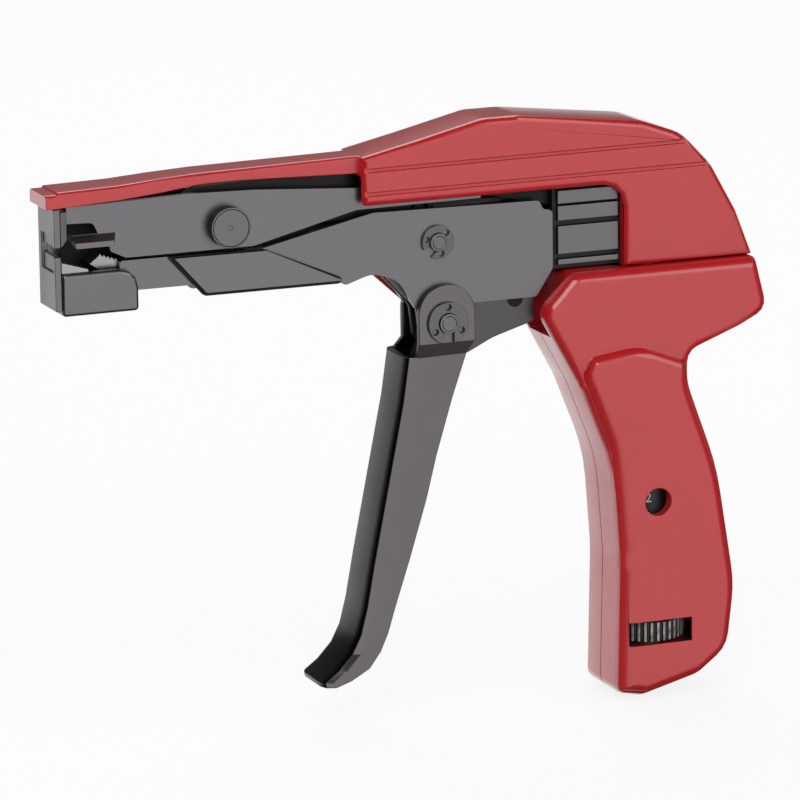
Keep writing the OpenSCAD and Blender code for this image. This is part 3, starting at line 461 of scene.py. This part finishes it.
@dataclass
class Castings(SubAssembly):
    """The two red castings and their screws."""

    rim_mm: float = 0.2
    # Below this angle an edge of a casting is smooth, and above it the edge is rounded
    cast_deg: float = 50
    # The wheel's slot, whose walls are painted black as shade: middle and size in X and Z, and reach in Y
    slot_mid_mm: tuple[float, float] = (137.28, -96.71)
    slot_size_mm: tuple[float, float] = (14.4, 5.3)
    slot_depth_mm: tuple[float, float] = (-11.8, -0.2)
    # Room for the slot's faces at its front end, at its rear end, and above and below
    slot_room_mm: tuple[float, float, float] = (0.05, 2.6, 0.1)
    # An end wall looks back at the slot's middle: its normal times its distance is below minus this
    inward_mm: float = 0.5
    edge_rows: tuple[EdgeRow, ...] = (
        EdgeRow(-11.43, 130.25, 0.6),
        EdgeRow(-9.8, 130.0, 1.3),
        EdgeRow(-9.4, 130.0, 1.3),
        EdgeRow(-9.1, 130.0, 0.65),
    )
    row_room_mm: float = 0.13
    # The front edge starts to come forward at this height, and is there in full this much lower
    edge_top_mm: float = -48
    edge_fade_mm: float = 12

    def _front_edge(self, corner: Vector) -> Vector:
        """Joins the edges of palm panel and saddle into one broad rounding at the front.

        Args:
            corner: corner of the grip cover.

        Returns:
            The corner's new place.
        """
        share = min(max((self.edge_top_mm - corner.z) / self.edge_fade_mm, 0), 1)
        for row in self.edge_rows:
            if abs(corner.y - row.depth_mm) < self.row_room_mm and corner.x < row.rear_mm:
                return corner - Vector((row.shift_mm * share, 0, 0))
        return corner

    def _slot_wall_in_shade(self, centre: Vector, normal: Vector) -> bool:
        """Says whether a face is a wall of the wheel's slot, which is painted black as shade.

        Args:
            centre: middle of the face.
            normal: the face's normal.

        Returns:
            Whether it is one.
        """
        (x, z), (length, height) = self.slot_mid_mm, self.slot_size_mm
        front_room, rear_room, side_room = self.slot_room_mm
        across = centre.x - x
        along = -length / 2 - front_room < across < length / 2 + rear_room
        beside = abs(centre.z - z) < height / 2 + side_room
        inward = abs(normal.z) > self.facing or normal.x * across < -self.inward_mm
        return along and beside and inward and self.slot_depth_mm[0] < centre.y < self.slot_depth_mm[1]

    def build(self) -> None:
        """Dresses housing, grip cover and screws."""
        angles = (self.cast_deg, self.cast_deg)
        self.soften("main_housing", Surface.RED_PAINT, self.rim_mm, *angles)
        cover = self.soften("grip_cover", Surface.RED_PAINT, self.rim_mm, *angles, self._front_edge)
        # Painted shade: the slot's walls in the red cover are black
        self.tint(cover, Surface.BLACK_PLASTIC, self._slot_wall_in_shade)
        self.soften("housing_screws", Surface.BLUED_STEEL, self.rim_mm)


@dataclass
class Barrel(SubAssembly):
    """Plates, brackets, nose and rear block of the barrel."""

    sheet_edge_mm: float = 0.16
    # Below this angle an edge of the nose block is smooth, and above it the edge is rounded
    block_deg: float = 50
    # Lower edge of the far plate, and how far it is let down
    far_edge: SideArea = SideArea((11.5, 45.5), (-math.inf, -2.3))
    far_drop_mm: float = 1.4
    # Distance of the skirt's step from the middle plane
    skirt_step_mm: float = 4.4
    # Top row of the skirt's face: its front and rear corners move up and apart
    skirt_top: SideArea = SideArea((26.9, 47.5), (-4.25, -3.85))
    skirt_middle_mm: float = 40
    skirt_rise_mm: float = 0.45
    skirt_front_shift_mm: float = -0.35
    skirt_rear_shift_mm: float = 0.75
    # Rear foot of the skirt's face, which moves back by twice that rise
    skirt_foot: SideArea = SideArea((64, 64.8), (-11.8, -11.5))
    # The step round the face, painted near black as shade: its area, and how far inside and outside the
    # step's distance it lies
    shaded_rim_area: SideArea = SideArea((24, 68), (-math.inf, -2.9))
    shaded_rim_depth_mm: tuple[float, float] = (-0.4, 0.75)
    # Ribs of the rear guide stand further out than this
    rib_mm: float = 4.4
    # Lowest and highest corner of the nose plate's folded far edge
    fold_low_mm: tuple[float, float, float] = (1.35, 5.13, -4.6)
    fold_high_mm: tuple[float, float, float] = (4.7, 5.3, 1.1)
    # Each edge of the fold is rounded by one part of this many in its thickness
    fold_parts: int = 3
    fold_steps: int = 2

    def _lower_edge(self, corner: Vector) -> Vector:
        """Lets the far plate's lower edge reach behind the channel, as seen through the mouth."""
        drop = self.far_drop_mm if self.far_edge.holds(corner) else 0
        return corner - Vector((0, 0, drop))

    def _skirt_face(self, corner: Vector) -> Vector:
        """Leaves a broad rim of painted shade at the skirt's front and foot, and a thin one elsewhere.

        Args:
            corner: corner of the lower channel.

        Returns:
            The corner's new place.
        """
        if abs(corner.y) <= self.skirt_step_mm:
            return corner
        if self.skirt_top.holds(corner):
            rear = corner.x > self.skirt_middle_mm
            along = self.skirt_rear_shift_mm if rear else self.skirt_front_shift_mm
            return corner + Vector((along, 0, self.skirt_rise_mm))
        if self.skirt_foot.holds(corner):
            return corner + Vector((2 * self.skirt_rise_mm, 0, 0))
        return corner

    def _in_shaded_rim(self, centre: Vector, _normal: Vector) -> bool:
        """Says whether a face belongs to the step round the skirt, which is painted near black as shade."""
        inner, outer = (self.skirt_step_mm + reach for reach in self.shaded_rim_depth_mm)
        return inner < abs(centre.y) < outer and self.shaded_rim_area.holds(centre)

    def _on_rib_sheen(self, centre: Vector, normal: Vector) -> bool:
        """Says whether a face is the outer face of one of the guide's ribs, where a sheen is painted."""
        return abs(centre.y) > self.rib_mm and abs(normal.y) > self.facing

    def _fold(self) -> None:
        """Models the far edge of the nose plate, folded back beside the blade."""
        low, high = (Vector(c) * MM for c in (self.fold_low_mm, self.fold_high_mm))
        deselect_all()
        bpy.ops.mesh.primitive_cube_add(size=1, location=(low + high) / 2, scale=high - low)
        piece = bpy.context.object
        piece.name = "nose_plate_far_fold"
        bpy.ops.object.transform_apply(location=True, rotation=True, scale=True)
        bevel = piece.modifiers.new("sheet edge", "BEVEL")
        bevel.width = (high.y - low.y) / self.fold_parts
        bevel.segments = self.fold_steps
        bpy.ops.object.modifier_apply(modifier=bevel.name)
        self.finish_piece(piece, Surface.BLACK_STEEL)

    def build(self) -> None:
        """Dresses every fixed piece of the barrel."""
        self.soften("upper_plate_near", Surface.BLACK_STEEL, 0)
        far = self.soften("upper_plate_far", Surface.BLACK_STEEL, 0, shape=self._lower_edge)
        # Painted shade: the far plate's face towards the near side is near black
        self.tint(far, Surface.GREASED_STEEL, lambda _centre, normal: normal.y < -self.facing)
        channel = self.soften("lower_channel", Surface.BLACK_STEEL, 0, shape=self._skirt_face)
        # Painted shade: the step round the skirt is near black
        self.tint(channel, Surface.GREASED_STEEL, self._in_shaded_rim)
        self.soften("nose_plate", Surface.BLACK_STEEL, self.sheet_edge_mm)
        self._fold()
        self.soften("trigger_brackets", Surface.DARK_STEEL, self.sheet_edge_mm)
        self.soften("nose_block", Surface.BLOCK_STEEL, self.sheet_edge_mm, self.block_deg, self.block_deg)
        self.soften("release_ramp", Surface.BRIGHT_STEEL, self.sheet_edge_mm)
        guide = self.soften("rear_guide", Surface.BLACK_PLASTIC, self.sheet_edge_mm)
        # Painted sheen: the ribs' outer faces are satin grey
        self.tint(guide, Surface.RUBBED_RIB, self._on_rib_sheen)
        # Painted shade: spacers, lever pin and leaf deep in the barrel are near black
        for node in ("frame_spacers", "lever_pin", "return_leaf"):
            self.paint_node(node, Surface.GREASED_STEEL)
        self.paint_node("wheel_washers", Surface.PLAIN_STEEL)


@dataclass
class Fasteners(SubAssembly):
    """Rivet, pins and clips."""

    edge_mm: float = 0.12
    # A head's front face: how squarely it looks forward, and how near its foremost corner it lies
    head_facing: float = 0.99
    head_room_mm: float = 0.01
    turned_deg: float = 25
    # Turned cuts of rivet and pins, each an inset and a depth
    rivet_cuts_mm: tuple[tuple[float, float], ...] = (
        (0.2, 0.0),
        (0.1, -0.16),
        (0.1, 0.16),
        (3.4, 0.0),
        (0.1, -0.1),
    )
    pin_cuts_mm: tuple[tuple[float, float], ...] = ((0.35, 0.0), (0.1, -0.1), (0.1, 0.1))
    # The rivet's side wall, painted near black as shade: it starts this far out, and its normals look less to
    # the side than this
    wall_from_mm: float = 4
    wall_facing: float = 0.6

    def _turn_rings(self, piece: bpy.types.Object, cuts_mm: tuple[tuple[float, float], ...]) -> None:
        """Turns fine rings into the near face of a round head.

        Args:
            piece: head whose foremost face is turned.
            cuts_mm: inset and depth of each cut.
        """
        front = min(corner.co.y for corner in piece.data.vertices)
        make_active(piece)
        for face in piece.data.polygons:
            near = face.center.y < front + self.head_room_mm * MM
            face.select = face.normal.y < -self.head_facing and near
        for inset_mm, depth_mm in cuts_mm:
            bpy.ops.object.mode_set(mode="EDIT")
            bpy.ops.mesh.select_mode(type="FACE")
            bpy.ops.mesh.inset(thickness=inset_mm * MM, depth=depth_mm * MM)
            bpy.ops.object.mode_set(mode="OBJECT")
        self.shade(piece, self.turned_deg)

    def _on_shaded_wall(self, centre: Vector, normal: Vector) -> bool:
        """Says whether a face belongs to the side wall of the rivet's head, painted near black as shade."""
        return abs(normal.y) < self.wall_facing and abs(centre.y) > self.wall_from_mm

    def build(self) -> None:
        """Dresses the rivet, both pins and both clips."""
        rivet = self.soften("main_rivet", Surface.HEAD_STEEL, self.edge_mm)
        self._turn_rings(rivet, self.rivet_cuts_mm)
        # Painted shade: the side wall of the rivet's head is near black
        self.tint(rivet, Surface.GREASED_STEEL, self._on_shaded_wall)
        for node in ("link_pin", "trigger_pin"):
            pin = self.soften(node, Surface.HEAD_STEEL, self.edge_mm)
            self._turn_rings(pin, self.pin_cuts_mm)
        for node in ("link_clip", "trigger_clip"):
            self.soften(node, Surface.BLUED_STEEL, self.edge_mm)


@dataclass
class TriggerGroup(SubAssembly):
    """The trigger with the arm inside it."""

    body: str = "trigger"
    edge_mm: float = 0.2
    fold_deg: float = 50

    def build(self) -> None:
        """Dresses the trigger and paints its arm."""
        trigger = self.soften("trigger", Surface.BLACK_PAINT, self.edge_mm, self.fold_deg)
        # Painted shade: all but the trigger's flat flanks are darker, and the arm inside is dark
        self.tint(trigger, Surface.FINGER_BLACK, lambda _centre, normal: abs(normal.y) < self.facing)
        self.paint_node("drive_arm", Surface.LEVER_STEEL)


@dataclass
class Mover(SubAssembly):
    """A moving body whose pieces keep their CAD shapes, with softened edges on those that show."""

    edge_mm: float = 0.1
    shown: dict[str, Surface] = field(default_factory=dict)
    hidden: dict[str, Surface] = field(default_factory=dict)

    def build(self) -> None:
        """Dresses the shown pieces and paints the hidden ones."""
        for node, surface in self.shown.items():
            self.soften(node, surface, self.edge_mm)
        for node, surface in self.hidden.items():
            self.paint_node(node, surface)


def movers() -> list[Mover]:
    """Returns the moving bodies inside the barrel and the grip."""
    # Painted shade: levers are dark, and the pawl's pin and spring near black, inside the barrel
    return [
        Mover("rocker", hidden={"rocker": Surface.LEVER_STEEL}),
        Mover(
            "pull_bar",
            shown={"pull_bar": Surface.LEVER_STEEL},
            hidden={"pawl_pin": Surface.GREASED_STEEL, "pawl_spring": Surface.GREASED_STEEL},
        ),
        Mover("pawl", shown={"gripper_pawl": Surface.BRIGHT_STEEL}),
        Mover("cutter_lever", shown={"cutter_lever": Surface.LEVER_STEEL}),
        Mover("blade", shown={"blade": Surface.BLADE_STEEL}),
        Mover("tension_lever", hidden={"tension_lever": Surface.LEVER_STEEL}),
        Mover("plunger", hidden={"spring_plunger": Surface.PLAIN_STEEL}),
    ]


@dataclass
class TensionDial(SubAssembly):
    """The drum with its printed numbers, and the spring above it."""

    body: str = "indicator"
    edge_mm: float = 0.1
    drum_r_mm: float = 5.6
    # Size and pitch of the numbers, and the middle of the first in X and Z
    numbers: tuple[str, ...] = ("2", "3", "4")
    number_mm: float = 2.9
    number_pitch_mm: float = 4.3
    number_mid_mm: tuple[float, float] = (135.6, -66.75)
    print_mm: float = 0.04
    # Edges of the wire below this angle are shaded smooth
    wire_deg: float = 60
    # Share of its length that the spring would keep with the drum at its limit; not used, as the spring is
    # not squashed
    spring_keep: float = 0.5

    def _number(self, text: str, row: int) -> None:
        """Prints one number on the near side of the drum.

        Args:
            text: the number.
            row: how many rows below the window's own number it stands.
        """
        deselect_all()
        bpy.ops.object.text_add()
        piece = bpy.context.object
        piece.name = f"dial_number_{text}"
        piece.data.body = text
        piece.data.size = self.number_mm * MM
        piece.data.align_x, piece.data.align_y = "CENTER", "CENTER"
        piece.data.extrude = self.print_mm * MM
        bpy.ops.object.convert(target="MESH")
        x, z = self.number_mid_mm
        for corner in piece.data.vertices:
            across, up, out = corner.co / MM
            angle = math.asin((x - DIAL_AXIS_MM[0]) / self.drum_r_mm) + across / self.drum_r_mm
            reach = self.drum_r_mm + out
            corner.co = Vector((
                DIAL_AXIS_MM[0] + reach * math.sin(angle),
                DIAL_AXIS_MM[1] - reach * math.cos(angle),
                z - row * self.number_pitch_mm + up,
            )) * MM
        self.finish_piece(piece, Surface.DIAL_PRINT)

    def build(self) -> None:
        """Dresses drum, numbers and spring."""
        self.soften("indicator_drum", Surface.DIAL_PLASTIC, self.edge_mm)
        for row, text in enumerate(self.numbers):
            self._number(text, row)
        spring = self.soften("tension_spring", Surface.SPRING_STEEL, 0, self.wire_deg)
        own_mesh(spring)


@dataclass
class TensionWheel(SubAssembly):
    """The ridged wheel below the drum."""

    body: str = "wheel"
    edge_mm: float = 0.06
    wheel_r_mm: float = 8.4
    # A ridge's tip lies between these distances from the wheel's radius
    tip_room_mm: tuple[float, float] = (-0.06, 0.1)

    def _is_highlit_tip(self, centre: Vector, _normal: Vector) -> bool:
        """Says whether a face lies on the tips of the wheel's ridges, where highlights are painted."""
        out = math.hypot(centre.x - DIAL_AXIS_MM[0], centre.y - DIAL_AXIS_MM[1])
        return self.wheel_r_mm + self.tip_room_mm[0] < out < self.wheel_r_mm + self.tip_room_mm[1]

    def build(self) -> None:
        """Dresses the wheel and paints highlights on its ridge tips."""
        wheel = self.soften("tension_wheel", Surface.WHEEL_PLASTIC, self.edge_mm)
        self.tint(wheel, Surface.RIDGE_TIP, self._is_highlit_tip)


@dataclass(frozen=True)
class Lamp:
    """One soft square lamp: its name, its place in metres and its power."""

    name: str
    place_m: tuple[float, float, float]
    watts: float


@dataclass
class Studio:
    """Camera, lamps, white surroundings and the pale floor."""

    turn_deg: float = 21.75
    lift_deg: float = 13.0
    roll_deg: float = -0.79
    place_mm: tuple[float, float, float] = (-393.4, -1186.9, 254.3)
    focal_px: float = 6011.0
    frame_px: int = 800
    sensor_mm: float = 36.0
    clip_m: tuple[float, float] = (0.01, 20)
    lamps: tuple[Lamp, ...] = (
        Lamp("key lamp", (-0.5, -0.9, 0.9), 6),
        Lamp("fill lamp", (0.9, -0.8, 0.5), 3),
        Lamp("back lamp", (0.3, 0.9, 0.9), 4),
    )
    lamp_side_m: float = 0.8
    aim_m: tuple[float, float, float] = (0.08, 0, -0.04)
    floor_side_m: float = 6
    floor_drop_mm: float = 0.5
    floor_colour: str = "#F4F4F4"
    floor_glow: float = 0.85
    # Soft light, and its shares from the sides and from front and back
    soft_light: float = 0.8
    soft_shares: tuple[float, float] = (0.35, 1.15)
    # Reflected panels: where their soft edge lies along Y, and their levels on either side of it
    panel_edge: tuple[float, float] = (0.45, 0.92)
    panel_levels: tuple[float, float] = (0.03, 1.0)
    # Soft edges along Y and Z of the dimmed part behind and above, and how much it is dimmed
    behind_edge: tuple[float, float] = (0.0, 0.3)
    above_edge: tuple[float, float] = (-0.1, 0.15)
    back_dimming: float = 0.88

    def build(self) -> None:
        """Sets up all that the object stands in."""
        self._camera()
        self._floor()
        self._world()
        for lamp in self.lamps:
            self._lamp(lamp)
        bpy.context.scene.view_settings.view_transform = "Standard"

    def _camera(self) -> None:
        """Places the camera where the photograph was taken from."""
        turn, lift, roll = (math.radians(v) for v in (self.turn_deg, self.lift_deg, self.roll_deg))
        right = Vector((math.cos(turn), -math.sin(turn), 0))
        ahead = Vector((math.sin(turn) * math.cos(lift), math.cos(turn) * math.cos(lift), -math.sin(lift)))
        up = right.cross(ahead)
        side = right * math.cos(roll) + up * math.sin(roll)
        top = up * math.cos(roll) - right * math.sin(roll)
        data = bpy.data.cameras.new("camera")
        data.sensor_width = self.sensor_mm
        data.lens = self.focal_px / self.frame_px * self.sensor_mm
        data.clip_start, data.clip_end = self.clip_m
        camera = bpy.data.objects.new("camera", data)
        stance = Matrix((side, top, -ahead)).transposed().to_4x4()
        camera.matrix_world = Matrix.Translation(Vector(self.place_mm) * MM) @ stance
        bpy.context.scene.collection.objects.link(camera)
        bpy.context.scene.camera = camera

    def _panels(self, tree: bpy.types.NodeTree) -> bpy.types.NodeSocket:
        """Surroundings that reflections show.

        They are white before the tool and low behind it, and dark at its sides, above, below and high
        behind.

        Args:
            tree: node tree of the world.

        Returns:
            The shader's output.
        """
        ray = add_node(tree, "ShaderNodeTexCoord").outputs["Generated"]
        split = add_node(tree, "ShaderNodeSeparateXYZ", inputs={"Vector": ray})
        across = add_node(tree, "ShaderNodeMath", {"operation": "ABSOLUTE"}, {0: split.outputs["Y"]})
        panel = add_node(
            tree,
            "ShaderNodeMapRange",
            {"interpolation_type": "SMOOTHSTEP"},
            {
                "Value": across.outputs[0],
                "From Min": self.panel_edge[0],
                "From Max": self.panel_edge[1],
                "To Min": self.panel_levels[0],
                "To Max": self.panel_levels[1],
            },
        )
        behind = add_node(
            tree,
            "ShaderNodeMapRange",
            {"interpolation_type": "SMOOTHSTEP"},
            {"Value": split.outputs["Y"], "From Min": self.behind_edge[0], "From Max": self.behind_edge[1]},
        )
        above = add_node(
            tree,
            "ShaderNodeMapRange",
            {"interpolation_type": "SMOOTHSTEP"},
            {
                "Value": split.outputs["Z"],
                "From Min": self.above_edge[0],
                "From Max": self.above_edge[1],
                "To Max": self.back_dimming,
            },
        )
        dim = add_node(
            tree, "ShaderNodeMath", {"operation": "MULTIPLY"}, {0: behind.outputs[0], 1: above.outputs[0]}
        )
        kept = add_node(tree, "ShaderNodeMath", {"operation": "SUBTRACT"}, {0: 1.0, 1: dim.outputs[0]})
        level = add_node(
            tree, "ShaderNodeMath", {"operation": "MULTIPLY"}, {0: panel.outputs[0], 1: kept.outputs[0]}
        )
        return add_node(
            tree, "ShaderNodeBackground", inputs={"Color": linear(WHITE), "Strength": level.outputs[0]}
        ).outputs[0]

    def _world(self) -> None:
        """White for the camera, panels for reflections and a soft grey light for the rest."""
        world = bpy.data.worlds.new("surroundings")
        world.use_nodes = True
        tree = world.node_tree
        tree.nodes.clear()
        white = linear(WHITE)
        path = add_node(tree, "ShaderNodeLightPath").outputs
        ray = add_node(tree, "ShaderNodeTexCoord").outputs["Generated"]
        side = add_node(tree, "ShaderNodeSeparateXYZ", inputs={"Vector": ray})
        across = add_node(tree, "ShaderNodeMath", {"operation": "ABSOLUTE"}, {0: side.outputs["Y"]})
        low, high = (share * self.soft_light for share in self.soft_shares)
        level = add_node(
            tree,
            "ShaderNodeMapRange",
            inputs={"Value": across.outputs[0], "To Min": low, "To Max": high},
        )
        soft = add_node(tree, "ShaderNodeBackground", inputs={"Color": white, "Strength": level.outputs[0]})
        shown = add_node(tree, "ShaderNodeBackground", inputs={"Color": white, "Strength": 1.0})
        seen = add_node(
            tree,
            "ShaderNodeMath",
            {"operation": "MAXIMUM"},
            {0: path["Is Camera Ray"], 1: path["Is Transmission Ray"]},
        )
        lit = add_node(
            tree,
            "ShaderNodeMixShader",
            inputs={0: path["Is Glossy Ray"], 1: soft.outputs[0], 2: self._panels(tree)},
        )
        mixed = add_node(
            tree, "ShaderNodeMixShader", inputs={0: seen.outputs[0], 1: lit.outputs[0], 2: shown.outputs[0]}
        )
        add_node(tree, "ShaderNodeOutputWorld", inputs={"Surface": mixed.outputs[0]})
        bpy.context.scene.world = world

    def _floor(self) -> None:
        """A plain pale floor just under the grip."""
        low = CAD_BOX[0].z - self.floor_drop_mm * MM
        deselect_all()
        bpy.ops.mesh.primitive_plane_add(size=self.floor_side_m, location=(0, 0, low))
        floor = bpy.context.object
        floor.name = "floor"
        bpy.ops.object.transform_apply(location=True)
        material = bpy.data.materials.new("pale_floor")
        material.use_nodes = True
        tree = material.node_tree
        tree.nodes.clear()
        path = add_node(tree, "ShaderNodeLightPath").outputs
        matt = add_node(tree, "ShaderNodeBsdfDiffuse", inputs={"Color": linear(self.floor_colour)})
        glow = add_node(tree, "ShaderNodeEmission", inputs={"Color": linear(WHITE), "Strength": 1.0})
        share = add_node(
            tree, "ShaderNodeMath", {"operation": "MULTIPLY"}, {0: path["Is Camera Ray"], 1: self.floor_glow}
        )
        mixed = add_node(
            tree, "ShaderNodeMixShader", inputs={0: share.outputs[0], 1: matt.outputs[0], 2: glow.outputs[0]}
        )
        add_node(tree, "ShaderNodeOutputMaterial", inputs={"Surface": mixed.outputs[0]})
        floor.data.materials.append(material)
        floor.visible_glossy = False

    def _lamp(self, lamp: Lamp) -> None:
        """Adds one lamp that faces the tool.

        Args:
            lamp: its name, place and power.
        """
        data = bpy.data.lights.new(lamp.name, "AREA")
        data.shape = "SQUARE"
        data.size = self.lamp_side_m
        data.energy = lamp.watts
        light = bpy.data.objects.new(lamp.name, data)
        light.location = lamp.place_m
        light.rotation_mode = "QUATERNION"
        light.rotation_quaternion = (Vector(self.aim_m) - Vector(lamp.place_m)).to_track_quat("-Z", "Y")
        bpy.context.scene.collection.objects.link(light)


def main() -> None:
    """Builds the studio and every sub-assembly."""
    logging.basicConfig(level=logging.INFO, format="%(name)s %(message)s")
    Studio().build()
    groups = (Castings(), Barrel(), Fasteners(), TriggerGroup(), *movers(), TensionDial(), TensionWheel())
    for group in groups:
        group.build()


if __name__ == "__main__":
    main()
